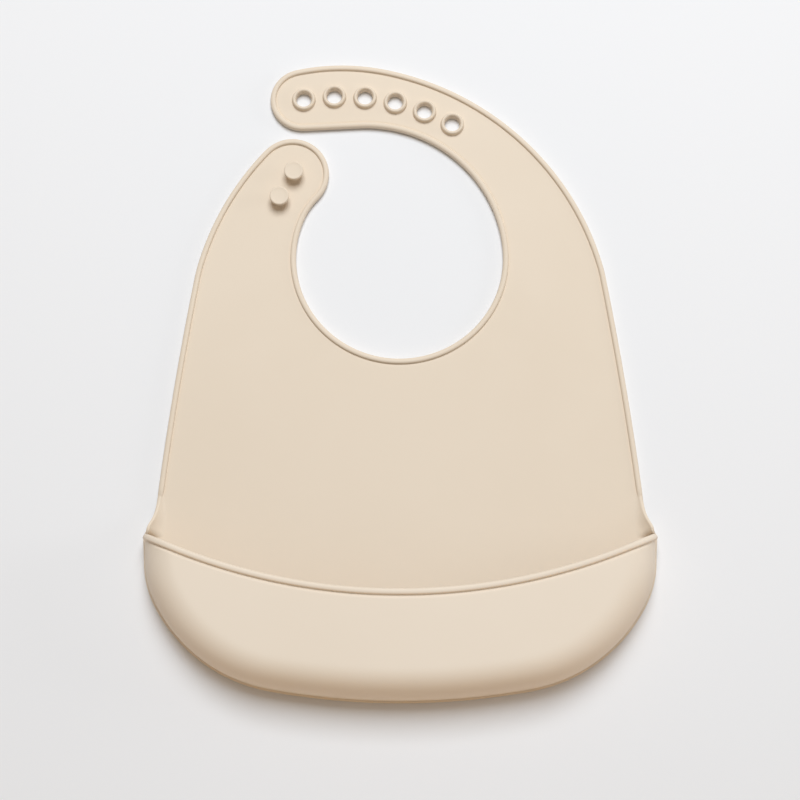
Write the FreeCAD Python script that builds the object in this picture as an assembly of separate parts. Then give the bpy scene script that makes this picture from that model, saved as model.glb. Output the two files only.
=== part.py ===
import FreeCAD
import Part
import math
import os

os.makedirs("parts", exist_ok=True)

V = FreeCAD.Vector

# All sizes are in mm. Y is counted from the bottom edge here and moved to the middle at the end.

# The sheet
WEB = 2.0
RIM_HIGH = 3.2
RIM_WIDE = 2.8
RIM_ROUND = 1.2
GAP = 0.15

# The foot of the pocket: a curve of three arcs on each side
FOOT_R = 327.0
FOOT_ANGLE = 10.2
CORNER_R = 72.7
CORNER_ANGLE = 62.6
SIDE_R = 42.7
CORNER_TIP = (115.0, 73.5)
FLARE_FOOT = (110.6, 81.7)
FLARE_MIDDLE = (109.65, 85.4)
FLARE_TOP = (109.0, 89.4)

# The shoulders and the straps
SHOULDER_X = 33.8
SHOULDER_Y = 164.7
SHOULDER_R = 131.4
CREST_R = 99.5
CREST_ANGLE = 78.5
SIDE_TOP_ANGLE = 13.4
SIDE_MIDDLE = (103.2, 136.7)
NECK = (-0.3, 202.1)
NECK_R = 47.7
INNER_R = 63.7
INNER_ANGLE = 183.5
HOLE_TIP_R = 15.0
HOLE_TIP_ANGLE = 102.6
STUD_TIP_R = 17.2
STUD_TIP_OUT = 63.94
TUCK_R = 30.0

# The adjusting holes and the studs
HOLE_ROW = (-26.9, 177.0)
HOLE_ROW_R = 102.9
HOLE_ROW_START = 100.24
HOLE_ROW_STEP = 8.02
HOLE_R = 3.5
COLLAR_R = 5.4
COLLAR_HIGH = 4.2
STUDS = ((-55.7, 229.9), (-49.2, 242.0))
STEM_R = 2.7
STEM_TOP = 6.4
HEAD_R = 4.45
HEAD_TOP = 8.2

# The pocket
LEDGE = 1.0
WALL = 2.2
POCKET_HIGH = 27.5
ROOF_SLOPE = 4.0
SLOPE_START = 22.0
ROUND = 18.0
LIP_R = 263.0
LIP_Y = 311.6
LIP_WIDE = 2.6
LIP_PROUD = 1.0
LIP_FOOT = 9.0
CORNER_HIGH = 13.0
FRONT_INSET = 9.0
FRONT_GAP = 0.3

# The lines where the silicone bends
FOLD_Y = 117.0
STRAP_Y = NECK[1]
STUD_BEND = 164.0
HOLE_BEND_1 = 55.6
HOLE_BEND_2 = HOLE_ROW_START - 2.5 * HOLE_ROW_STEP


def at(centre, radius, angle):
    a = math.radians(angle)
    return (centre[0] + radius * math.cos(a), centre[1] + radius * math.sin(a))


def toward(start, end):
    return math.degrees(math.atan2(end[1] - start[1], end[0] - start[0]))


def apart(a, b):
    return math.hypot(b[0] - a[0], b[1] - a[1])


def crossing(a, ra, b, rb, side):
    # Where two circles meet, on the left (1) or right (-1) of the line from a to b
    d = apart(a, b)
    x = (d * d + ra * ra - rb * rb) / (2 * d)
    y = side * math.sqrt(ra * ra - x * x)
    return at(a, math.hypot(x, y), toward(a, b) + math.degrees(math.atan2(y, x)))


def line(a, b):
    return Part.makeLine(V(a[0], a[1], 0), V(b[0], b[1], 0))


def arc3(a, m, b):
    return Part.Arc(V(a[0], a[1], 0), V(m[0], m[1], 0), V(b[0], b[1], 0)).toShape()


def arc(centre, radius, start, end):
    return arc3(
        at(centre, radius, start),
        at(centre, radius, 0.5 * (start + end)),
        at(centre, radius, end),
    )


def mirrored(p):
    return (-p[0], p[1])


def foot_edges():
    # The right half of the pocket's foot, from the middle up to the side
    c1 = (0.0, FOOT_R)
    c2 = at(c1, FOOT_R - CORNER_R, FOOT_ANGLE - 90)
    c3 = at(c2, CORNER_R - SIDE_R, CORNER_ANGLE - 90)
    first = arc(c1, FOOT_R, -90, FOOT_ANGLE - 90)
    second = arc(c2, CORNER_R, FOOT_ANGLE - 90, CORNER_ANGLE - 90)
    third = arc(c3, SIDE_R, CORNER_ANGLE - 90, 0)
    return [first, second, third], at(c3, SIDE_R, 0)


def crest():
    # The middle of the arc over the strap with the holes
    return at((-SHOULDER_X, SHOULDER_Y), SHOULDER_R - CREST_R, CREST_ANGLE)


def flip(edge):
    return edge.mirror(V(0, 0, 0), V(1, 0, 0))


def sheet_edges():
    foot, side_foot = foot_edges()
    right = (-SHOULDER_X, SHOULDER_Y)
    left = (SHOULDER_X, SHOULDER_Y)
    side_top = at(right, SHOULDER_R, SIDE_TOP_ANGLE)
    side = [
        line(side_foot, CORNER_TIP),
        line(CORNER_TIP, FLARE_FOOT),
        arc3(FLARE_FOOT, FLARE_MIDDLE, FLARE_TOP),
        arc3(FLARE_TOP, SIDE_MIDDLE, side_top),
    ]
    both = foot + side
    edges = both + [flip(e) for e in both]

    # The strap with the holes, whose top is a tighter arc than the shoulder
    tip = at(crest(), CREST_R - HOLE_TIP_R, HOLE_TIP_ANGLE)
    inner = at(NECK, INNER_R - NECK_R, INNER_ANGLE)
    lean = math.degrees(math.acos((HOLE_TIP_R + INNER_R) / apart(inner, tip)))
    normal = toward(inner, tip) - lean
    under = at(tip, HOLE_TIP_R, normal + 180)
    meet = at(inner, INNER_R, normal)
    edges.append(arc(right, SHOULDER_R, SIDE_TOP_ANGLE, CREST_ANGLE))
    edges.append(arc(crest(), CREST_R, CREST_ANGLE, HOLE_TIP_ANGLE))
    edges.append(arc(tip, HOLE_TIP_R, HOLE_TIP_ANGLE, normal + 180))
    edges.append(line(under, meet))
    edges.append(arc(inner, INNER_R, normal, INNER_ANGLE - 180))

    # The neck and the strap with the studs
    stud = crossing(left, SHOULDER_R - STUD_TIP_R, NECK, STUD_TIP_OUT, 1)
    tuck = crossing(NECK, NECK_R - TUCK_R, stud, STUD_TIP_R + TUCK_R, 1)
    to_tuck = toward(NECK, tuck)
    to_stud = toward(tuck, stud)
    from_left = toward(left, stud)
    edges.append(arc(NECK, NECK_R, INNER_ANGLE - 180, to_tuck - 360))
    edges.append(arc(tuck, TUCK_R, to_tuck, to_stud))
    edges.append(arc(stud, STUD_TIP_R, to_stud - 180, from_left))
    edges.append(arc(left, SHOULDER_R, from_left, 180 - SIDE_TOP_ANGLE))
    return edges


def face(edges):
    return Part.Face(Part.Wire(Part.__sortEdges__(edges)))


def inset(shape, distance):
    return shape.makeOffset2D(-distance)


def prism(shape, low, high):
    moved = shape.copy()
    moved.translate(V(0, 0, low))
    return moved.extrude(V(0, 0, high - low))


def beyond(point, angle, gap=GAP):
    # Everything on the left of the line through point at this angle, less a gap
    block = Part.makeBox(800, 400, 100, V(-400, gap, -20))
    block.rotate(V(0, 0, 0), V(0, 0, 1), angle)
    block.translate(V(point[0], point[1], 0))
    return block


def rounded_top(solid, radius, height):
    # Rounds the long edges at this height; the short ones are where a piece was cut
    near = [e for e in solid.Edges if abs(e.BoundBox.ZMin - height) < 0.01]
    flat = [e for e in near if abs(e.BoundBox.ZMax - height) < 0.01]
    return solid.makeFillet(radius, [e for e in flat if e.Length > 4.0]).Solids[0]


# The sheet: its thin web and the raised bead round its edge
sheet = face(sheet_edges())
web = prism(inset(sheet, RIM_WIDE), 0, WEB)
bead = prism(sheet, 0, RIM_HIGH).cut(prism(inset(sheet, RIM_WIDE), -1, RIM_HIGH + 1))

# The regions that bend against each other
below_strap = beyond((0, STRAP_Y), 180)
above_strap = beyond((0, STRAP_Y), 0)
stud_zone = Part.makeBox(110, 71.4, 60, V(-130, 190, -10))
stud_side = above_strap.common(stud_zone)
hole_side = above_strap.cut(stud_zone)
regions = {
    "lower": beyond((0, FOLD_Y), 180),
    "upper": beyond((0, FOLD_Y), 0).common(below_strap),
    "stud_root": stud_side.common(beyond(NECK, STUD_BEND)),
    "stud_tip": stud_side.common(beyond(NECK, STUD_BEND + 180)),
    "hole_root": hole_side.common(beyond(HOLE_ROW, HOLE_BEND_1 + 180)),
    "hole_middle": hole_side.common(beyond(HOLE_ROW, HOLE_BEND_1)).common(
        beyond(HOLE_ROW, HOLE_BEND_2 + 180)
    ),
    "hole_tip": hole_side.common(beyond(HOLE_ROW, HOLE_BEND_2)),
}

# The eyelets and the holes for them
eyelets = []
for i in range(6):
    x, y = at(HOLE_ROW, HOLE_ROW_R, HOLE_ROW_START - i * HOLE_ROW_STEP)
    collar = Part.makeCylinder(COLLAR_R, COLLAR_HIGH, V(x, y, 0))
    collar = collar.cut(Part.makeCylinder(HOLE_R, COLLAR_HIGH, V(x, y, 0)))
    eyelets.append(rounded_top(collar, 0.85, COLLAR_HIGH))
    web = web.cut(Part.makeCylinder(COLLAR_R, WEB, V(x, y, 0)))

# The studs
studs = []
for x, y in STUDS:
    head = Part.makeCylinder(HEAD_R, HEAD_TOP - STEM_TOP, V(x, y, STEM_TOP))
    head = rounded_top(head, 0.7, HEAD_TOP)
    stem = Part.makeCylinder(STEM_R, STEM_TOP - WEB, V(x, y, WEB))
    studs.append(stem.fuse(head))

# The pocket: one shell, shaped as an outer block less the same block a wall smaller
lip_cut = Part.makeCylinder(LIP_R, 120, V(0, LIP_Y, -20))
band_cut = Part.makeCylinder(LIP_R + LIP_WIDE, 120, V(0, LIP_Y, -20))
foot, side_foot = foot_edges()
side = [line(side_foot, (side_foot[0], 100.0))]
pocket_edges = foot + side + [flip(e) for e in foot + side]
pocket_edges.append(line((side_foot[0], 100.0), (-side_foot[0], 100.0)))
pocket_plan = face(pocket_edges)


def pocket_block(deep):
    # The pocket's outer form, made smaller all round by deep
    block = prism(inset(pocket_plan, LEDGE + deep), WEB, 60)
    above = Part.makeBox(400, 400, 100, V(-200, -200, 0))
    above.rotate(V(0, 0, 0), V(1, 0, 0), -ROOF_SLOPE)
    above.translate(V(0, SLOPE_START, POCKET_HIGH - deep))
    block = block.cut(above)
    crown = [e for e in block.Edges if e.BoundBox.ZMin > 10 and e.BoundBox.YMin < 90]
    return block.makeFillet(ROUND - deep, crown)


outer = pocket_block(0.0)
inner = pocket_block(WALL)
proud = pocket_block(-LIP_PROUD)
front_zone = prism(inset(pocket_plan, LEDGE + FRONT_INSET), 0, 60)
near_front = prism(inset(pocket_plan, LEDGE + FRONT_INSET - FRONT_GAP), 0, 60)
shell = outer.cut(inner).cut(band_cut)
lip = proud.cut(inner).cut(lip_cut).common(band_cut)
lip = lip.common(Part.makeBox(400, 200, 80, V(-200, -20, LIP_FOOT)))

# The ends of the pocket's wall slope down from the lip to the edge bead
slope = math.degrees(math.atan2(CORNER_HIGH - RIM_HIGH, FLARE_TOP[1] - CORNER_TIP[1]))
over = Part.makeBox(400, 60, 60, V(-200, -10, 0))
over.rotate(V(0, 0, 0), V(1, 0, 0), -slope)
over.translate(V(0, CORNER_TIP[1], CORNER_HIGH))
edge_band = prism(sheet, WEB, 20).cut(prism(inset(sheet, RIM_WIDE), 0, 20))
ends = edge_band.common(lip_cut).cut(over)
ends = ends.common(Part.makeBox(400, FLARE_TOP[1] - 60, 60, V(-200, 60, 0)))

# The foot of the pocket
flange = prism(sheet, 0, WEB).cut(prism(inset(sheet, RIM_WIDE), 0, WEB))
flange = flange.common(Part.makeBox(400, FLARE_TOP[1] + 10, 10, V(-200, -10, 0)))


def left_of(shape, x):
    return [s for s in shape.Solids if s.CenterOfMass.x < x]


def right_of(shape, x):
    return [s for s in shape.Solids if s.CenterOfMass.x > x]


def piece(name, solids):
    nodes[name] = solids[0] if len(solids) == 1 else Part.makeCompound(solids)


def rims(region):
    return [rounded_top(s, RIM_ROUND, RIM_HIGH) for s in bead.common(regions[region]).Solids]


nodes = {}

# The lower half
piece("lower_panel", web.common(regions["lower"]).Solids)
bare = bead.common(regions["lower"])
bare = bare.common(Part.makeBox(400, 200, 10, V(-200, FLARE_TOP[1], 0)))
lower_rims = Part.makeCompound([rounded_top(s, RIM_ROUND, RIM_HIGH) for s in bare.Solids])
piece("left_side_rim", left_of(lower_rims, 0))
piece("right_side_rim", right_of(lower_rims, 0))
piece("base_flange", flange.Solids)
piece("pocket_wall", shell.cut(near_front).Solids)
piece("pocket_corners", ends.Solids)
piece("lip_ends", lip.cut(near_front).Solids)
piece("pocket_front", shell.common(front_zone).Solids)
piece("pocket_lip", lip.common(front_zone).Solids)

# The upper half
piece("upper_panel", web.common(regions["upper"]).Solids)
upper_rims = rims("upper")
upper_rims.sort(key=lambda s: s.CenterOfMass.x)
piece("left_shoulder_rim", upper_rims[:1])
piece("neck_rim", upper_rims[1:2])
piece("right_shoulder_rim", upper_rims[2:])

# The strap with the studs
piece("stud_strap_root", web.common(regions["stud_root"]).Solids)
piece("stud_strap_root_rims", rims("stud_root"))
piece("stud_strap_tip", web.common(regions["stud_tip"]).Solids)
piece("stud_strap_tip_rim", rims("stud_tip"))
piece("lower_stud", studs[0].Solids)
piece("upper_stud", studs[1].Solids)

# The strap with the holes
for part in ("root", "middle", "tip"):
    piece("hole_strap_" + part, web.common(regions["hole_" + part]).Solids)
piece("hole_strap_root_rims", rims("hole_root"))
piece("hole_strap_middle_rims", rims("hole_middle"))
piece("hole_strap_tip_rim", rims("hole_tip"))
for i, collar in enumerate(eyelets):
    piece("eyelet_" + str(i + 1), collar.Solids)

# The origin is in the middle of the length, on the surface that the bib lies on
middle = 0.5 * (crest()[1] + CREST_R)
for name, shape in nodes.items():
    moved = shape.copy()
    moved.translate(V(0, -middle, 0))
    moved.exportStep("parts/" + name + ".step")
    box = moved.BoundBox
    print(name, len(moved.Solids), moved.isValid(), round(moved.Volume, 1), box)
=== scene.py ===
"""The silicone bib's looks: one soft moulded skin, cut where the silicone bends."""

import math

import bpy
import numpy as np
from mathutils import Matrix, Vector
from mathutils.geometry import delaunay_2d_cdt


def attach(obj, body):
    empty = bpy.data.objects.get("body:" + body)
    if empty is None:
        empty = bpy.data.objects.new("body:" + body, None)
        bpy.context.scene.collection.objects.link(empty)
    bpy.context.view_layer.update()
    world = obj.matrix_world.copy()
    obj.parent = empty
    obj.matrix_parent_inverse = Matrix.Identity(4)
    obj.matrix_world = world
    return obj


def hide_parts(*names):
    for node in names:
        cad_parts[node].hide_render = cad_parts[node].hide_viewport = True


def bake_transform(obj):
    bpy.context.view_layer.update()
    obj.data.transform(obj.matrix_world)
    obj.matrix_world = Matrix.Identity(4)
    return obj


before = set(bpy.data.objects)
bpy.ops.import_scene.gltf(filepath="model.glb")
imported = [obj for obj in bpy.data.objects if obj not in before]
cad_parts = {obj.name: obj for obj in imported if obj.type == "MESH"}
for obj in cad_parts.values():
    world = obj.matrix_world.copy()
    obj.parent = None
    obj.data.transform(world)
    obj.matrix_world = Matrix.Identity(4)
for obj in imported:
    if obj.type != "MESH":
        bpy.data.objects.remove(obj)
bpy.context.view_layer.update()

# Sizes in mm. Y is counted from the bib's bottom edge, and MIDDLE takes it to the row frame.
MIDDLE = 147.73
WEB = 2.0
WALL = 2.2
LEDGE = 1.0
# The pocket's foot: three arcs on each side. The first two end at their angles from straight
# down, and the third at the side.
FOOT_R = 327.0
FOOT_ANGLE = 10.2
CORNER_R = 72.7
CORNER_ANGLE = 62.6
SIDE_R = 42.7
# The corners of the pocket, and the flare and the side above them
CORNER = np.array((115.0, 73.5))
FLARE_FOOT = (110.6, 81.7)
FLARE_MIDDLE = (109.65, 85.4)
FLARE_TOP = np.array((109.0, 89.4))
SIDE_MIDDLE = (103.2, 136.7)
# The shoulders, the neck and the ends of the two straps
SHOULDER_X = 33.8
SHOULDER_Y = 164.7
SHOULDER_R = 131.4
SIDE_TOP_ANGLE = 13.4
CREST_R = 99.5
CREST_ANGLE = 78.5
NECK = (-0.3, 202.1)
NECK_R = 47.7
INNER_R = 63.7
INNER_ANGLE = 183.5
HOLE_TIP_R = 15.0
HOLE_TIP_ANGLE = 102.6
STUD_TIP_R = 17.2
STUD_TIP_OUT = 63.94
TUCK_R = 30.0
# The row of eyelets, the studs and the mouth of the pocket
HOLE_ROW = (-26.9, 177.0)
HOLE_ROW_R = 102.9
HOLE_STEP = 8.02
HOLE_ANGLES = [100.24 - HOLE_STEP * i for i in range(6)]
STUDS = [(-55.7, 229.9), (-49.2, 242.0)]
LIP_R = 263.0
LIP_Y = 311.6
# Where the silicone bends: heights from the bottom edge, and angles round the neck and the row
SEAM_Y = 150.0
STRAP_Y = NECK[1]
STUD_BEND = 164.0
HOLE_BEND_1 = 55.6
HOLE_BEND_2 = HOLE_ANGLES[2] - HOLE_STEP / 2
# The spacing of the points along the edge
EDGE_STEP = 1.2


def at(centre, radius, angle):
    a = math.radians(angle)
    return np.array((centre[0] + radius * math.cos(a), centre[1] + radius * math.sin(a)))


def toward(start, end):
    return math.degrees(math.atan2(end[1] - start[1], end[0] - start[0]))


def apart(a, b):
    return math.hypot(b[0] - a[0], b[1] - a[1])


def smooth(t):
    t = np.clip(t, 0.0, 1.0)
    return t * t * (3 - 2 * t)


def row(points):
    """Points in mm, counted from the bottom edge, as points in metres in the row frame."""
    p = np.array(points, float).reshape(-1, 3)
    return (p - (0, MIDDLE, 0)) * 0.001


# ---- The outline ----


def arc(centre, radius, start, end):
    n = max(3, int(abs(math.radians(end - start)) * radius / 0.5))
    return [at(centre, radius, a) for a in np.linspace(start, end, n)]


def through(a, m, b):
    """An arc from a to b through m."""
    (ax, ay), (mx, my), (bx, by) = a, m, b
    d = 2 * (ax * (my - by) + mx * (by - ay) + bx * (ay - my))
    sa, sm, sb = ax * ax + ay * ay, mx * mx + my * my, bx * bx + by * by
    c = (
        (sa * (my - by) + sm * (by - ay) + sb * (ay - my)) / d,
        (sa * (bx - mx) + sm * (ax - bx) + sb * (mx - ax)) / d,
    )
    start, end = toward(c, a), toward(c, b)
    if end - start > 180:
        end -= 360
    if start - end > 180:
        end += 360
    return arc(c, apart(c, a), start, end)


def straight(a, b):
    n = max(2, int(apart(a, b) / 0.5))
    return [np.array(a) + (np.array(b) - a) * t for t in np.linspace(0, 1, n)]


def crossing(a, ra, b, rb):
    """Where two circles meet, on the left of the line from a to b."""
    d = apart(a, b)
    x = (d * d + ra * ra - rb * rb) / (2 * d)
    return at(a, ra, toward(a, b) + math.degrees(math.acos(x / ra)))


def outline():
    """The bib's edge, anticlockwise from the middle of the bottom."""
    foot = (0.0, FOOT_R)
    corner = at(foot, FOOT_R - CORNER_R, FOOT_ANGLE - 90)
    side = at(corner, CORNER_R - SIDE_R, CORNER_ANGLE - 90)
    right, left = (-SHOULDER_X, SHOULDER_Y), (SHOULDER_X, SHOULDER_Y)
    side_top = at(right, SHOULDER_R, SIDE_TOP_ANGLE)
    half = arc(foot, FOOT_R, -90, FOOT_ANGLE - 90)
    half += arc(corner, CORNER_R, FOOT_ANGLE - 90, CORNER_ANGLE - 90)
    half += arc(side, SIDE_R, CORNER_ANGLE - 90, 0)
    half += straight(at(side, SIDE_R, 0), CORNER)
    half += straight(CORNER, FLARE_FOOT)
    half += through(FLARE_FOOT, FLARE_MIDDLE, FLARE_TOP)
    half += through(FLARE_TOP, SIDE_MIDDLE, side_top)

    crest = at(right, SHOULDER_R - CREST_R, CREST_ANGLE)
    tip = at(crest, CREST_R - HOLE_TIP_R, HOLE_TIP_ANGLE)
    inner = at(NECK, INNER_R - NECK_R, INNER_ANGLE)
    lean = math.degrees(math.acos((HOLE_TIP_R + INNER_R) / apart(inner, tip)))
    normal = toward(inner, tip) - lean
    line = list(half)
    line += arc(right, SHOULDER_R, SIDE_TOP_ANGLE, CREST_ANGLE)
    line += arc(crest, CREST_R, CREST_ANGLE, HOLE_TIP_ANGLE)
    line += arc(tip, HOLE_TIP_R, HOLE_TIP_ANGLE, normal + 180)
    line += straight(at(tip, HOLE_TIP_R, normal + 180), at(inner, INNER_R, normal))
    line += arc(inner, INNER_R, normal, INNER_ANGLE - 180)

    stud = crossing(left, SHOULDER_R - STUD_TIP_R, NECK, STUD_TIP_OUT)
    tuck = crossing(NECK, NECK_R - TUCK_R, stud, STUD_TIP_R + TUCK_R)
    to_tuck, to_stud, from_left = toward(NECK, tuck), toward(tuck, stud), toward(left, stud)
    line += arc(NECK, NECK_R, INNER_ANGLE - 180, to_tuck - 360)
    line += arc(tuck, TUCK_R, to_tuck, to_stud)
    line += arc(stud, STUD_TIP_R, to_stud - 180, from_left)
    line += arc(left, SHOULDER_R, from_left, 180 - SIDE_TOP_ANGLE)
    line += [np.array((-p[0], p[1])) for p in reversed(half)]
    return np.array(line)


def spaced(points, step, closed=True):
    """The same line with evenly spaced points."""
    p = np.vstack([points, points[:1]]) if closed else points
    length = np.r_[0, np.cumsum(np.linalg.norm(np.diff(p, axis=0), axis=1))]
    keep = np.r_[True, np.diff(length) > 1e-9]
    n = int(round(length[-1] / step))
    s = np.linspace(0, length[-1], n, endpoint=False) if closed else np.linspace(0, length[-1], n)
    return np.stack([np.interp(s, length[keep], p[keep, k]) for k in range(p.shape[1])], axis=1)


def softened(points, sigma, step):
    """A closed line with its corners rounded."""
    reach = int(4 * sigma / step)
    k = np.exp(-0.5 * (np.arange(-reach, reach + 1) * step / sigma) ** 2)
    k /= k.sum()
    out = np.zeros_like(points)
    for i, weight in zip(range(-reach, reach + 1), k):
        out += weight * np.roll(points, -i, axis=0)
    return out


FINE_STEP = 0.4
SOFTEN = 1.3
EDGE = spaced(softened(spaced(outline(), FINE_STEP), SOFTEN, FINE_STEP), EDGE_STEP)
COUNT = len(EDGE)
tangent = np.roll(EDGE, -1, axis=0) - np.roll(EDGE, 1, axis=0)
tangent /= np.linalg.norm(tangent, axis=1)[:, None]
INWARD = np.stack([-tangent[:, 1], tangent[:, 0]], axis=1)


def nearest(x, y):
    return int(np.argmin(np.hypot(EDGE[:, 0] - x, EDGE[:, 1] - y)))


def edge_crossing(point, angle, low, high):
    """The edge point where a line from point at this angle crosses the edge, between two distances."""
    for r in np.arange(low, high, 0.05):
        p = at(point, r, angle)
        i = nearest(*p)
        if apart(EDGE[i], p) < 0.7:
            return i
    raise ValueError("no crossing")


# ---- Meshes ----


def material(name, dark, light, fade=None):
    """Smooth matte silicone, with faint cloudiness, fine dust and a very fine moulded grain.

    With fade, a pair of lengths along Y in metres, the tone changes to the sheet's between them; the
    pocket uses it to end its painted paler lit tone.
    """
    mat = bpy.data.materials.new(name)
    mat.use_nodes = True
    nodes, links = mat.node_tree.nodes, mat.node_tree.links
    shader = nodes["Principled BSDF"]
    place = nodes.new("ShaderNodeTexCoord")

    def noise(scale, detail, rough):
        n = nodes.new("ShaderNodeTexNoise")
        n.inputs["Scale"].default_value = scale
        n.inputs["Detail"].default_value = detail
        n.inputs["Roughness"].default_value = rough
        links.new(place.outputs["Object"], n.inputs["Vector"])
        return n

    def ramp(source, stops):
        r = nodes.new("ShaderNodeValToRGB")
        r.color_ramp.elements[0].position = stops[0][0]
        r.color_ramp.elements[0].color = stops[0][1]
        r.color_ramp.elements[1].position = stops[1][0]
        r.color_ramp.elements[1].color = stops[1][1]
        links.new(source, r.inputs["Fac"])
        return r

    # Cloudy tone, a few percent either way
    cloud = noise(9.0, 3.0, 0.55)
    colour = ramp(cloud.outputs["Fac"], [(0.3, dark), (0.7, light)]).outputs["Color"]
    # With fade, the pocket's painted paler lit tone gives way to the sheet's own tone
    if fade:
        sheet = ramp(cloud.outputs["Fac"], [(0.3, TONE_DARK), (0.7, TONE_LIGHT)])
        split = nodes.new("ShaderNodeSeparateXYZ")
        links.new(place.outputs["Object"], split.inputs["Vector"])
        far = nodes.new("ShaderNodeMapRange")
        far.inputs["From Min"].default_value = fade[0]
        far.inputs["From Max"].default_value = fade[1]
        links.new(split.outputs["Y"], far.inputs["Value"])
        change = nodes.new("ShaderNodeMix")
        change.data_type = "RGBA"
        links.new(far.outputs["Result"], change.inputs[0])
        links.new(colour, change.inputs[6])
        links.new(sheet.outputs["Color"], change.inputs[7])
        colour = change.outputs[2]

    # Pale dust specks, well apart
    cells = nodes.new("ShaderNodeTexVoronoi")
    cells.inputs["Scale"].default_value = 34.0
    cells.inputs["Randomness"].default_value = 1.0
    links.new(place.outputs["Object"], cells.inputs["Vector"])
    speck = ramp(cells.outputs["Distance"], [(0.006, (1, 1, 1, 1)), (0.012, (0, 0, 0, 1))])
    dust = nodes.new("ShaderNodeMix")
    dust.data_type = "RGBA"
    links.new(speck.outputs["Color"], dust.inputs[0])
    links.new(colour, dust.inputs[6])
    dust.inputs[7].default_value = DUST
    links.new(dust.outputs[2], shader.inputs["Base Color"])

    # Roughness changes a little with handling
    sheen_map = noise(22.0, 4.0, 0.6)
    rough = nodes.new("ShaderNodeMapRange")
    rough.inputs["From Min"].default_value = 0.3
    rough.inputs["From Max"].default_value = 0.7
    rough.inputs["To Min"].default_value = 0.46
    rough.inputs["To Max"].default_value = 0.56
    links.new(sheen_map.outputs["Fac"], rough.inputs["Value"])
    links.new(rough.outputs["Result"], shader.inputs["Roughness"])

    # Fine grain on top of slow waviness
    grain = noise(2600.0, 2.0, 0.5)
    fine = nodes.new("ShaderNodeBump")
    fine.inputs["Strength"].default_value = 0.08
    fine.inputs["Distance"].default_value = 0.00004
    links.new(grain.outputs["Fac"], fine.inputs["Height"])
    wave = noise(38.0, 2.0, 0.5)
    slow = nodes.new("ShaderNodeBump")
    slow.inputs["Strength"].default_value = 0.35
    slow.inputs["Distance"].default_value = 0.0004
    links.new(wave.outputs["Fac"], slow.inputs["Height"])
    links.new(fine.outputs["Normal"], slow.inputs["Normal"])
    links.new(slow.outputs["Normal"], shader.inputs["Normal"])

    shader.inputs["IOR"].default_value = 1.41
    shader.inputs["Specular IOR Level"].default_value = 0.25
    shader.inputs["Sheen Weight"].default_value = 0.03
    shader.inputs["Sheen Roughness"].default_value = 0.45
    return mat


TONE_LIGHT = (0.800, 0.690, 0.560, 1)
TONE_DARK = (0.780, 0.668, 0.536, 1)
DUST = (0.90, 0.87, 0.82, 1)
SILICONE = material("silicone", TONE_DARK, TONE_LIGHT)
# Painted light: the pocket's round front and lip bead get a paler, less yellow copy of the silicone
# tone, so that they look more brightly lit than the sheet; the silicone is the same, and the pocket's
# low ends keep the sheet's tone
POCKET_PAINTED_LIT_LIGHT = (0.826, 0.721, 0.599, 1)
POCKET_PAINTED_LIT_DARK = (0.806, 0.699, 0.574, 1)
POCKET_PAINTED_LIT_SILICONE = material("pocket_painted_lit_silicone", POCKET_PAINTED_LIT_DARK, POCKET_PAINTED_LIT_LIGHT, (-0.0775, -0.0735))


def piece(name, points, faces, replaced, mat=SILICONE):
    """A smooth mesh piece from points in mm, which stands for these CAD nodes."""
    mesh = bpy.data.meshes.new(name)
    mesh.from_pydata([tuple(p) for p in row(points)], [], [tuple(int(i) for i in f) for f in faces])
    mesh.validate()
    mesh.polygons.foreach_set("use_smooth", [True] * len(mesh.polygons))
    mesh.materials.append(mat)
    obj = bpy.data.objects.new(name, mesh)
    bpy.context.scene.collection.objects.link(obj)
    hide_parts(*replaced)
    return obj


class Mesh:
    """Collects points and faces in mm."""

    def __init__(self):
        self.points = []
        self.faces = []

    def add(self, points):
        start = len(self.points)
        self.points.extend([tuple(p) for p in points])
        return start

    def grid(self, rows, closed=False):
        """A sheet of quads from rows of points, all of the same length."""
        start = [self.add(r) for r in rows]
        n = len(rows[0])
        for a, b in zip(start[:-1], start[1:]):
            for i in range(n if closed else n - 1):
                j = (i + 1) % n
                self.faces.append((a + i, a + j, b + j, b + i))
        return start


# ---- The sheet ----

# The bead's section: how far in from the edge, and how high
BEAD = np.array([
    (4.0, 2.00), (3.4, 1.98), (3.0, 1.9), (2.78, 1.8), (2.62, 1.84), (2.56, 2.1),
    (2.5, 2.55), (2.34, 2.88), (2.0, 3.1), (1.5, 3.20), (0.95, 3.12), (0.5, 2.92),
    (0.18, 2.55), (0.03, 2.05), (0.0, 1.4), (0.05, 0.75), (0.25, 0.28), (0.65, 0.04),
    (1.2, 0.0), (4.0, 0.0),
])
# The same section where the pocket stands on it, a plain thin flange
FLANGE = np.array([
    (4.0, 2.00), (3.6, 2.0), (3.3, 2.0), (3.0, 2.0), (2.6, 2.0), (2.2, 2.0),
    (1.8, 2.0), (1.5, 2.0), (1.25, 1.98), (1.05, 1.92), (0.85, 1.82), (0.6, 1.64),
    (0.36, 1.38), (0.16, 1.06), (0.04, 0.75), (0.03, 0.5), (0.2, 0.2), (0.6, 0.03),
    (1.2, 0.0), (4.0, 0.0),
])


def section(i):
    """The section at edge point i: points in mm, from the top's inner end round to the bottom's."""
    x, y = EDGE[i]
    fade = smooth((94.5 - y) / 7.0)
    profile = BEAD * (1 - fade) + FLANGE * fade
    depth = profile[:, 0] * REACH[i]
    plan = EDGE[i] + depth[:, None] * INWARD[i]
    return np.column_stack([plan, profile[:, 1]])


# The section is squeezed near the two sharp corners of the pocket, so that it doesn't cross itself
corner_near = np.minimum(
    np.hypot(EDGE[:, 0] - CORNER[0], EDGE[:, 1] - CORNER[1]),
    np.hypot(EDGE[:, 0] + CORNER[0], EDGE[:, 1] - CORNER[1]),
)
REACH = 0.45 + 0.55 * smooth(corner_near / 7.0)
SECTIONS = [section(i) for i in range(COUNT)]


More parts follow.
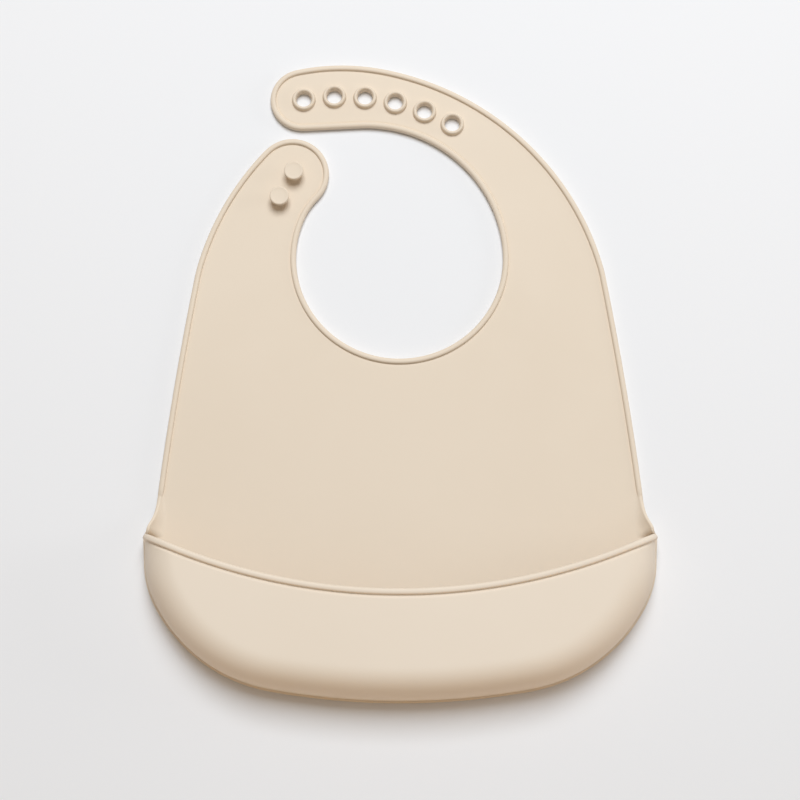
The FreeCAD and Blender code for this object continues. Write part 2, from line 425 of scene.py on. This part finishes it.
def seam_points(i, j, which):
    """Points on the straight seam between two sections, the same from either end."""
    a, b = SECTIONS[min(i, j)][which], SECTIONS[max(i, j)][which]
    n = max(2, int(np.linalg.norm(b - a) / EDGE_STEP))
    points = [a + (b - a) * k / n for k in range(1, n)]
    return points if i < j else points[::-1]


def inside(points, polygon):
    """Which of the points lie inside a closed polygon."""
    x, y = points[:, 0], points[:, 1]
    hit = np.zeros(len(points), bool)
    px, py = polygon[:, 0], polygon[:, 1]
    qx, qy = np.roll(px, -1), np.roll(py, -1)
    for ax, ay, bx, by in zip(px, py, qx, qy):
        if ay == by:
            continue
        crosses = (ay > y) != (by > y)
        hit ^= crosses & (x < (bx - ax) * (y - ay) / (by - ay) + ax)
    return hit


def clear_of(points, line, gap):
    """Which of the points are at least gap from every point of a line."""
    near = np.full(len(points), 1e9)
    for start in range(0, len(line), 200):
        part = line[start : start + 200]
        d = np.hypot(points[:, None, 0] - part[None, :, 0], points[:, None, 1] - part[None, :, 1])
        near = np.minimum(near, d.min(axis=1))
    return near > gap


EYELET_FOOT = 6.0
EYELET_STEPS = 48
EYELETS = [at(HOLE_ROW, HOLE_ROW_R, a) for a in HOLE_ANGLES]
GRID_X = 2.4
GRID_Y = 2.08
SLIVER = 1e-3


def circle(centre, radius, steps):
    return np.array([at(centre, radius, 360 * k / steps) for k in range(steps)])


def grid_inside(border):
    """Points of a triangular grid that lie inside a closed border and clear of it."""
    gx, gy = np.meshgrid(np.arange(-130, 130, GRID_X), np.arange(-4, 300, GRID_Y))
    gx[1::2] += GRID_X / 2
    grid = np.column_stack([gx.ravel(), gy.ravel()])
    low, high = border.min(axis=0), border.max(axis=0)
    grid = grid[(grid > low).all(axis=1) & (grid < high).all(axis=1)]
    grid = grid[inside(grid, border)]
    return grid[clear_of(grid, border, 1.3)]


def around(hole, radius, holes, border):
    """A ring of points round a hole, and which of them are clear of the border and other holes."""
    ring = circle(hole, radius, 40)
    fits = inside(ring, border) & clear_of(ring, border, 0.7)
    for other in holes:
        fits &= np.hypot(*(ring - other).T) > radius - 0.01
    return ring, fits


def fill(mesh, ring, holes, level):
    """Flat triangles at this height inside a closed ring of mesh points, with round holes."""
    border = np.array(mesh.points)[ring][:, :2]
    grid = grid_inside(border)
    plan = [tuple(p) for p in border]
    source = list(ring)
    edges = [(i, (i + 1) % len(ring)) for i in range(len(ring))]

    def add(points):
        here = mesh.add([(x, y, level) for x, y in points])
        source.extend(range(here, here + len(points)))
        plan.extend(tuple(p) for p in points)

    rings = []
    for hole in holes:
        for radius in (EYELET_FOOT + 1.1, EYELET_FOOT + 2.4):
            points, fits = around(hole, radius, holes, border)
            grid = grid[clear_of(grid, points, 1.0)]
            rings.append(points[fits])
        grid = grid[np.hypot(*(grid - hole).T) > EYELET_FOOT + 0.8]
        start = len(plan)
        add(circle(hole, EYELET_FOOT, EYELET_STEPS))
        edges += [(start + k, start + (k + 1) % EYELET_STEPS) for k in range(EYELET_STEPS)]
    for points in [grid] + rings:
        add(points)

    made = delaunay_2d_cdt([Vector(p) for p in plan], edges, [], 0, 1e-5)
    places, _, triangles, original = made[:4]
    ids = []
    for p, o in zip(places, original):
        ids.append(source[o[0]] if o else mesh.add([(p.x, p.y, level)]))
    corners = np.array([[places[i][:] for i in t] for t in triangles])
    middle = corners.mean(axis=1)
    ab, ac = corners[:, 1] - corners[:, 0], corners[:, 2] - corners[:, 0]
    keep = inside(middle, border)
    keep &= np.abs(ab[:, 0] * ac[:, 1] - ab[:, 1] * ac[:, 0]) > SLIVER
    for hole in holes:
        keep &= np.hypot(*(middle - hole).T) > EYELET_FOOT - 0.02
    for triangle, kept in zip(triangles, keep):
        if kept:
            face = [ids[i] for i in triangle]
            mesh.faces.append(face if level > 0 else face[::-1])


def sheet_piece(name, runs, holes, replaced):
    """One piece of the sheet.

    runs are stretches of the edge, from first to last point, joined by straight seams.
    """
    mesh = Mesh()
    top, bottom = [], []
    for k, (first, last) in enumerate(runs):
        run = [i % COUNT for i in range(first, last + 1 if last >= first else last + COUNT + 1)]
        columns = mesh.grid([SECTIONS[i] for i in run])
        after = runs[(k + 1) % len(runs)][0]
        for ring, which in ((top, 0), (bottom, len(BEAD) - 1)):
            ring += [column + which for column in columns]
            seam = seam_points(run[-1], after, which)
            here = mesh.add(seam)
            ring += list(range(here, here + len(seam)))
    fill(mesh, top, holes, WEB)
    fill(mesh, bottom, holes, 0.0)
    return piece(name, mesh.points, mesh.faces, replaced)


# The seams' end points on the edge: across the waist, the strap roots and the straps
SEAM_LIFT = 0.6
waist_right, waist_left = nearest(103.0, SEAM_Y), nearest(-103.0, SEAM_Y)
right_out, right_in = nearest(92.2, STRAP_Y - SEAM_LIFT), nearest(47.4, STRAP_Y - SEAM_LIFT)
left_in, left_out = nearest(-48.0, STRAP_Y - SEAM_LIFT), nearest(-92.2, STRAP_Y - SEAM_LIFT)
stud_in = edge_crossing(NECK, STUD_BEND, 40, 56)
stud_out = edge_crossing(NECK, STUD_BEND, 70, 100)
hole_out_1 = edge_crossing(HOLE_ROW, HOLE_BEND_1, 108, 130)
hole_in_1 = edge_crossing(HOLE_ROW, HOLE_BEND_1, 80, 96)
hole_out_2 = edge_crossing(HOLE_ROW, HOLE_BEND_2, 108, 130)
hole_in_2 = edge_crossing(HOLE_ROW, HOLE_BEND_2, 80, 96)

lower = sheet_piece(
    "lower_sheet", [(waist_left, waist_right)], [],
    ["lower_panel", "left_side_rim", "right_side_rim", "base_flange"],
)
upper = sheet_piece(
    "upper_sheet", [(waist_right, right_out), (right_in, left_in), (left_out, waist_left)], [],
    ["upper_panel", "left_shoulder_rim", "right_shoulder_rim", "neck_rim"],
)
stud_root = sheet_piece(
    "stud_strap_root_sheet", [(left_in, stud_in), (stud_out, left_out)], [],
    ["stud_strap_root", "stud_strap_root_rims"],
)
stud_tip = sheet_piece(
    "stud_strap_tip_sheet", [(stud_in, stud_out)], [],
    ["stud_strap_tip", "stud_strap_tip_rim"],
)
hole_root = sheet_piece(
    "hole_strap_root_sheet", [(right_out, hole_out_1), (hole_in_1, right_in)], [],
    ["hole_strap_root", "hole_strap_root_rims"],
)
hole_middle = sheet_piece(
    "hole_strap_middle_sheet", [(hole_out_1, hole_out_2), (hole_in_2, hole_in_1)], EYELETS[3:],
    ["hole_strap_middle", "hole_strap_middle_rims"],
)
hole_tip = sheet_piece(
    "hole_strap_tip_sheet", [(hole_out_2, hole_in_2)], EYELETS[:3],
    ["hole_strap_tip", "hole_strap_tip_rim"],
)

# ---- Eyelets and studs ----


def turned(name, centre, profile, node):
    """A round piece from its section: distances from the axis, and heights."""
    steps = range(EYELET_STEPS)
    rings = [[(*at(centre, r, 360 * k / EYELET_STEPS), z) for k in steps] for r, z in profile]
    mesh = Mesh()
    mesh.grid(rings, closed=True)
    return piece(name, mesh.points, mesh.faces, [node])


COLLAR = [
    (EYELET_FOOT, 2.0), (5.75, 2.0), (5.55, 2.06), (5.44, 2.25), (5.4, 2.6), (5.36, 3.2),
    (5.22, 3.65), (4.97, 3.98), (4.7, 4.16), (4.48, 4.19), (4.2, 4.08), (3.95, 3.85),
    (3.73, 3.5), (3.59, 3.0), (3.51, 2.4), (3.5, 1.4), (3.5, 0.5), (3.6, 0.15),
    (3.85, 0.0), (4.7, 0.0), (EYELET_FOOT, 0.0),
]
MUSHROOM = [
    (4.0, 1.97), (3.6, 2.01), (3.25, 2.12), (2.95, 2.35), (2.76, 2.7), (2.7, 3.2),
    (2.7, 5.5), (2.76, 5.95), (2.95, 6.2), (3.3, 6.32), (3.8, 6.36), (4.2, 6.45),
    (4.39, 6.65), (4.45, 6.95), (4.45, 7.5), (4.38, 7.85), (4.2, 8.09), (3.95, 8.19),
    (3.65, 8.18), (3.3, 8.09), (2.8, 8.04), (1.0, 8.02), (0.02, 8.02),
]
collars = [
    turned("eyelet_collar_%d" % (i + 1), c, COLLAR, "eyelet_%d" % (i + 1))
    for i, c in enumerate(EYELETS)
]
snaps = [
    turned("snap_" + n, c, MUSHROOM, n) for n, c in zip(("lower_stud", "upper_stud"), STUDS)
]

# ---- The pocket ----

# The pocket's low ends start inside the side beads, a little above the flare. LOW is the part
# of the edge between them, round the foot, from left to right.
GUSSET_TOP = FLARE_TOP[1] + 4.0
low_start = nearest(-FLARE_TOP[0], GUSSET_TOP - 0.5)
low_end = nearest(FLARE_TOP[0], GUSSET_TOP - 0.5) + COUNT
LOW = [i % COUNT for i in range(low_start, low_end + 1)]
FOOT = EDGE[LOW]


def edge_distance(points):
    """How far points in plan are from the bib's edge near the pocket."""
    near = np.full(len(points), 1e9)
    for a, b in zip(FOOT[:-1], FOOT[1:]):
        ab = b - a
        t = np.clip(((points - a) @ ab) / (ab @ ab), 0, 1)
        q = points - a - t[:, None] * ab
        near = np.minimum(near, np.hypot(q[:, 0], q[:, 1]))
    return near


ROOF_HIGH = 27.4
ROOF_SLOPE = 0.07
ROOF_Y = 22.0
# The round-over from the wall to the roof: its width, how much narrower it gets towards the
# bottom edge, where that starts and how far it goes on, its height for each mm of width, and
# the power of its curve. The wall below it leans in by DRAFT.
ROUND_WIDE = 15.5
ROUND_NARROWER = 1.8
NARROWS_BELOW = 45.0
NARROWS_OVER = 35.0
ROUND_TALL = 1.4
ROUND_POWER = 2.1
DRAFT = 0.45


def height(points, deep=0.0):
    """The pocket's height over points in plan, on its outside or that far inside it."""
    d = edge_distance(points) - LEDGE - deep
    y = points[:, 1]
    top = ROOF_HIGH - ROOF_SLOPE * (y - ROOF_Y) - deep
    wide = ROUND_WIDE - ROUND_NARROWER * smooth((NARROWS_BELOW - y) / NARROWS_OVER) - deep
    base = np.maximum(top - ROUND_TALL * wide, WEB)
    wall = WEB + (base - WEB) * np.clip(d / DRAFT, 0, 1)
    t = np.clip((d - DRAFT) / (wide - DRAFT), 0, 1)
    crown = base + (top - base) * (1 - (1 - t) ** ROUND_POWER) ** (1 / ROUND_POWER)
    return np.where(d < DRAFT, wall, crown)


def lip_y(x):
    """The mouth's edge in plan, an arc round a point above it."""
    return LIP_Y - np.sqrt(LIP_R**2 - x**2)


def lip_distance(points):
    """How far points in plan are below the mouth's edge."""
    return np.hypot(points[:, 0], points[:, 1] - LIP_Y) - LIP_R


def mouth_end():
    """How far out the mouth's edge reaches along its arc before it meets the side wall."""
    x = np.arange(104.0, CORNER[0] + 1, 0.02)
    d = edge_distance(np.column_stack([x, lip_y(x)]))
    return float(x[np.argmax(d < LEDGE + 0.6)])


def resampled(points, s, n):
    """n points evenly spaced along a line whose lengths so far are s."""
    want = np.linspace(0, s[-1], n)
    return np.stack([np.interp(want, s, points[:, k]) for k in range(points.shape[1])], axis=1)


def lengths(points):
    """How long a line is up to each of its points."""
    return np.r_[0, np.cumsum(np.linalg.norm(np.diff(points, axis=0), axis=1))]


# Every column of the pocket's shell has the same rows: up the outside, over the lip, down inside
ROOF_ROWS = 44
NEAR_LIP = np.array((4.7, 4.3, 3.95, 3.65, 3.4, 3.15, 2.9, 2.6, 2.0, 1.0))
INNER_ROWS = 26
# The fine groove in front of the lip bead: how deep, how far from the mouth and how wide
GROOVE = 0.55
GROOVE_AT = 3.15
GROOVE_WIDE = 0.5
LIP_END = mouth_end()


def dome_column(foot, mouth):
    """A line up the pocket's outside from its foot to the mouth, and back down its inside."""
    t = np.r_[np.linspace(0, 0.1, 60), np.linspace(0.1, 1, 120)[1:]]
    plan = foot + t[:, None] * (mouth - foot)
    r = lip_distance(plan)
    squeeze = min(1.0, r[0] / 9.0)
    outer = np.column_stack([plan, height(plan)])
    cut = np.interp(-5.0 * squeeze, -r, t)
    roof = outer[t <= cut]
    roof = resampled(roof, lengths(roof), ROOF_ROWS)
    near = np.interp(-NEAR_LIP * squeeze, -r, t)
    plan_near = foot + near[:, None] * (mouth - foot)
    z = height(plan_near)
    dip = GROOVE * squeeze * np.exp(-(((NEAR_LIP - GROOVE_AT) / GROOVE_WIDE) ** 2))
    edge = np.column_stack([plan_near, z - dip])
    inner = np.column_stack([plan, height(plan, WALL)])
    keep = edge_distance(plan) > LEDGE + WALL - 0.02
    inner = inner[keep][::-1] if keep.sum() > 3 else np.repeat([[*mouth, WEB]], 4, axis=0)
    along = lengths(inner) + np.arange(len(inner)) * 1e-6
    inner = resampled(inner + (0, 0, -0.02), along, INNER_ROWS)
    top = np.array([[*mouth, float(height(mouth[None])[0])]])
    return np.vstack([roof, edge, top, inner])


# The low wall beside the pocket's corner: its height at its top end and how much it gains, how
# far its outside leans in, and half the width of its rim at its top end and at the corner
LOW_HIGH = 2.6
LOW_GAIN = 6.75
LOW_LEAN = 0.16
LOW_RIM = 1.0
CORNER_RIM = 0.55


def corner_column(edge, inward, y):
    """A line over the low wall that runs from the pocket's corner up to the edge bead."""
    u = np.clip((GUSSET_TOP - y) / (GUSSET_TOP - CORNER[1]), 0, 1)
    high = LOW_HIGH + LOW_GAIN * u**1.9
    foot = LEDGE - (LEDGE - 0.12) * smooth((y - CORNER[1]) / 6.0)
    wide = CORNER_RIM + (LOW_RIM - CORNER_RIM) * (1 - u)
    wall = np.array([
        (foot, WEB - 0.1),
        (foot + 0.1, WEB + 0.6 * (high - WEB)),
        (foot + LOW_LEAN, high - 0.5),
    ])
    wall = resampled(wall, lengths(wall), ROOF_ROWS)
    a = np.radians(np.linspace(180, 20, len(NEAR_LIP)))
    rim = np.column_stack([
        foot + LOW_LEAN + wide * (1 + np.cos(a)),
        high - 0.5 + 0.5 * np.sin(a),
    ])
    start = rim[-1]
    end = foot + LOW_LEAN + 2 * wide + 0.15 + 9.45 * u
    v = np.linspace(0, 1, 60)[1:]
    inner = np.column_stack([
        start[0] + (end - start[0]) * v,
        WEB - 0.02 + (start[1] - WEB) * (1 - v) ** 2.4,
    ])
    inner = resampled(inner, lengths(inner), INNER_ROWS + 1)
    line = np.vstack([wall, rim, inner])
    return np.column_stack([edge + line[:, :1] * inward, line[:, 1]])


def pocket_shell():
    """The pocket's wall and roof, outside and inside, with its two low ends."""
    left = int(np.argmin(np.hypot(FOOT[:, 0] + CORNER[0], FOOT[:, 1] - CORNER[1])))
    right = int(np.argmin(np.hypot(FOOT[:, 0] - CORNER[0], FOOT[:, 1] - CORNER[1])))
    s = lengths(FOOT)
    share = np.clip((s - s[left]) / (s[right] - s[left]), 0, 1)
    columns = []
    for k, i in enumerate(LOW):
        near = min(max(k, left), right)
        x = LIP_END * (2 * share[k] - 1)
        foot = EDGE[LOW[near]] + LEDGE * INWARD[LOW[near]]
        column = dome_column(foot, np.array((x, lip_y(x))))
        if k != near:
            low_wall = corner_column(EDGE[i], INWARD[i], EDGE[i][1])
            g = smooth(abs(s[k] - s[near]) / 4.0)
            column = column * (1 - g) + low_wall * g
        columns.append(column)
    mesh = Mesh()
    mesh.grid(columns)
    mesh.faces = [f[::-1] for f in mesh.faces]
    return piece(
        "pocket_shell", mesh.points, mesh.faces, ["pocket_wall", "pocket_front", "pocket_corners"],
        POCKET_PAINTED_LIT_SILICONE,
    )


# The lip bead's section: how far its middle is from the mouth, half its width, its height over
# and under its middle, how deep that middle is sunk, and the power of its squarish round
LIP_BEAD_IN = 1.45
LIP_HALF = 1.36
LIP_OVER = 1.75
LIP_UNDER = 1.62
LIP_SUNK = 0.72
LIP_POWER = 0.7
# The bead stops this high on the side walls, in a round end this long
LIP_STOP = 9.6
LIP_CAP = 1.5


def lip_line():
    """The line on the pocket's surface that the lip bead follows, from left to right."""
    x = np.r_[np.linspace(0, LIP_END - 2, 200), np.arange(LIP_END - 1.98, LIP_END + 0.6, 0.02)]
    plan = np.column_stack([x, LIP_Y - np.sqrt((LIP_R + LIP_BEAD_IN) ** 2 - x**2)])
    line = np.column_stack([plan, height(plan)])
    line = line[: int(np.argmax(line[:, 2] < LIP_STOP)) or len(line)]
    line = np.vstack([line[::-1] * (-1, 1, 1), line[1:]])
    return spaced(line, EDGE_STEP, closed=False)


def lip_bead():
    """The bead round the mouth, with its two ends turned down the side walls."""
    line = lip_line()
    along = np.gradient(line, axis=0)
    along /= np.linalg.norm(along, axis=1)[:, None]
    across = np.column_stack([-line[:, 0], LIP_Y - line[:, 1], np.zeros(len(line))])
    across /= np.linalg.norm(across, axis=1)[:, None]
    out = np.cross(along, across)
    out /= np.linalg.norm(out, axis=1)[:, None]
    a = np.radians(np.arange(0, 360, 15))
    ca, sa = np.cos(a), np.sin(a)
    wide = LIP_HALF * np.sign(ca) * np.abs(ca) ** LIP_POWER
    high = np.where(sa > 0, LIP_OVER, LIP_UNDER) * np.sign(sa) * np.abs(sa) ** LIP_POWER - LIP_SUNK

    def cap(k, end):
        """The rings of the bead's round end at point k, from the tip on."""
        rings = []
        for angle in np.radians((88, 70, 50, 30, 12)):
            small = math.cos(angle)
            centre = line[k] + end * along[k] * LIP_CAP * math.sin(angle)
            rings.append([
                centre + across[k] * w * small + out[k] * ((h + LIP_SUNK) * small - LIP_SUNK)
                for w, h in zip(wide, high)
            ])
        return rings

    rings = cap(0, -1)
    for k in range(len(line)):
        rings.append([line[k] + across[k] * w + out[k] * h for w, h in zip(wide, high)])
    rings += cap(-1, 1)[::-1]
    mesh = Mesh()
    start = mesh.grid(rings, closed=True)
    n = len(a)
    for ring, turn in ((start[0], 1), (start[-1], -1)):
        mid = mesh.add([np.mean([mesh.points[ring + k] for k in range(n)], axis=0)])
        for k in range(n):
            f = (mid, ring + (k + 1) % n, ring + k)
            mesh.faces.append(f if turn > 0 else f[::-1])
    return piece(
        "pocket_lip_bead", mesh.points, mesh.faces, ["pocket_lip", "lip_ends"], POCKET_PAINTED_LIT_SILICONE,
    )


shell = pocket_shell()
bead = lip_bead()

# ---- The upper sheet on its body, and the other pieces' placement baked ----


def bends(obj):
    """Bakes obj's placement into its mesh."""
    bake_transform(obj)


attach(upper, "upper_half")
bends(lower)
bends(stud_root)
for obj in [stud_tip] + snaps:
    bends(obj)
bends(hole_root)
for obj in [hole_middle] + collars[3:]:
    bends(obj)
for obj in [hole_tip] + collars[:3]:
    bends(obj)
# The pocket's roof gives when pressed, and its wall bends with it; here the shell and lip bead only
# get their placement baked into their meshes
for obj in (shell, bead):
    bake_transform(obj)

# ---- Floor, light and camera ----

FLOOR_TONE = (0.868, 0.873, 0.888, 1)
# The floor is a hair below the bib's back, so that the two faces don't mix, and this far to each side
FLOOR_DROP = 0.0002
FLOOR_HALF = 4


def floor():
    mesh = bpy.data.meshes.new("floor")
    h = FLOOR_HALF
    mesh.from_pydata([(-h, -h, 0), (h, -h, 0), (h, h, 0), (-h, h, 0)], [], [(0, 1, 2, 3)])
    mat = bpy.data.materials.new("floor")
    mat.use_nodes = True
    shader = mat.node_tree.nodes["Principled BSDF"]
    shader.inputs["Base Color"].default_value = FLOOR_TONE
    shader.inputs["Roughness"].default_value = 0.8
    shader.inputs["Specular IOR Level"].default_value = 0.2
    mesh.materials.append(mat)
    obj = bpy.data.objects.new("floor", mesh)
    obj.location.z = -FLOOR_DROP
    bpy.context.scene.collection.objects.link(obj)


def area_light(name, place, aim, size, power, tone, spread=180):
    """A rectangular light: place and size in metres, power in watts, spread in degrees."""
    data = bpy.data.lights.new(name, "AREA")
    data.shape = "RECTANGLE"
    data.size, data.size_y = size
    data.energy = power
    data.color = tone
    data.spread = math.radians(spread)
    obj = bpy.data.objects.new(name, data)
    obj.visible_camera = False
    obj.location = place
    obj.rotation_euler = (Vector(aim) - Vector(place)).to_track_quat("-Z", "Y").to_euler()
    bpy.context.scene.collection.objects.link(obj)


floor()
area_light("window", (0.08, 0.8, 1.62), (0, 0, 0), (0.9, 1.0), 28.6, (0.90, 0.95, 1.0))
area_light("bounce", (0.0, -1.3, 0.12), (0, 0, 0.02), (1.2, 0.12), 0.22, (1.0, 0.52, 0.1), 40)
area_light("side", (1.3, 0.1, 0.35), (0, 0, 0.01), (0.5, 0.4), 0.35, (0.95, 0.97, 1.0), 70)

scene = bpy.context.scene
world = bpy.data.worlds.new("world")
scene.world = world
world.use_nodes = True
background = world.node_tree.nodes["Background"]
background.inputs["Color"].default_value = (1.0, 0.86, 0.71, 1)
background.inputs["Strength"].default_value = 0.285
scene.view_settings.view_transform = "Standard"
scene.view_settings.look = "None"
scene.view_settings.exposure = 0.0

# How far off the camera is, its tilt from straight down, where it looks, and how much it sees
DISTANCE = 0.744
TILT = math.radians(10.5)
AIM = Vector((-0.0001, -0.01214, 0))
FRAME_WIDE = 0.3636
SENSOR = 36
camera = bpy.data.objects.new("camera", bpy.data.cameras.new("camera"))
camera.data.sensor_width = SENSOR
camera.data.lens = SENSOR * DISTANCE / FRAME_WIDE
back = Vector((0, -math.sin(TILT), math.cos(TILT)))
camera.matrix_world = Matrix.Translation(AIM + back * DISTANCE) @ Matrix.Rotation(TILT, 4, "X")
scene.collection.objects.link(camera)
scene.camera = camera
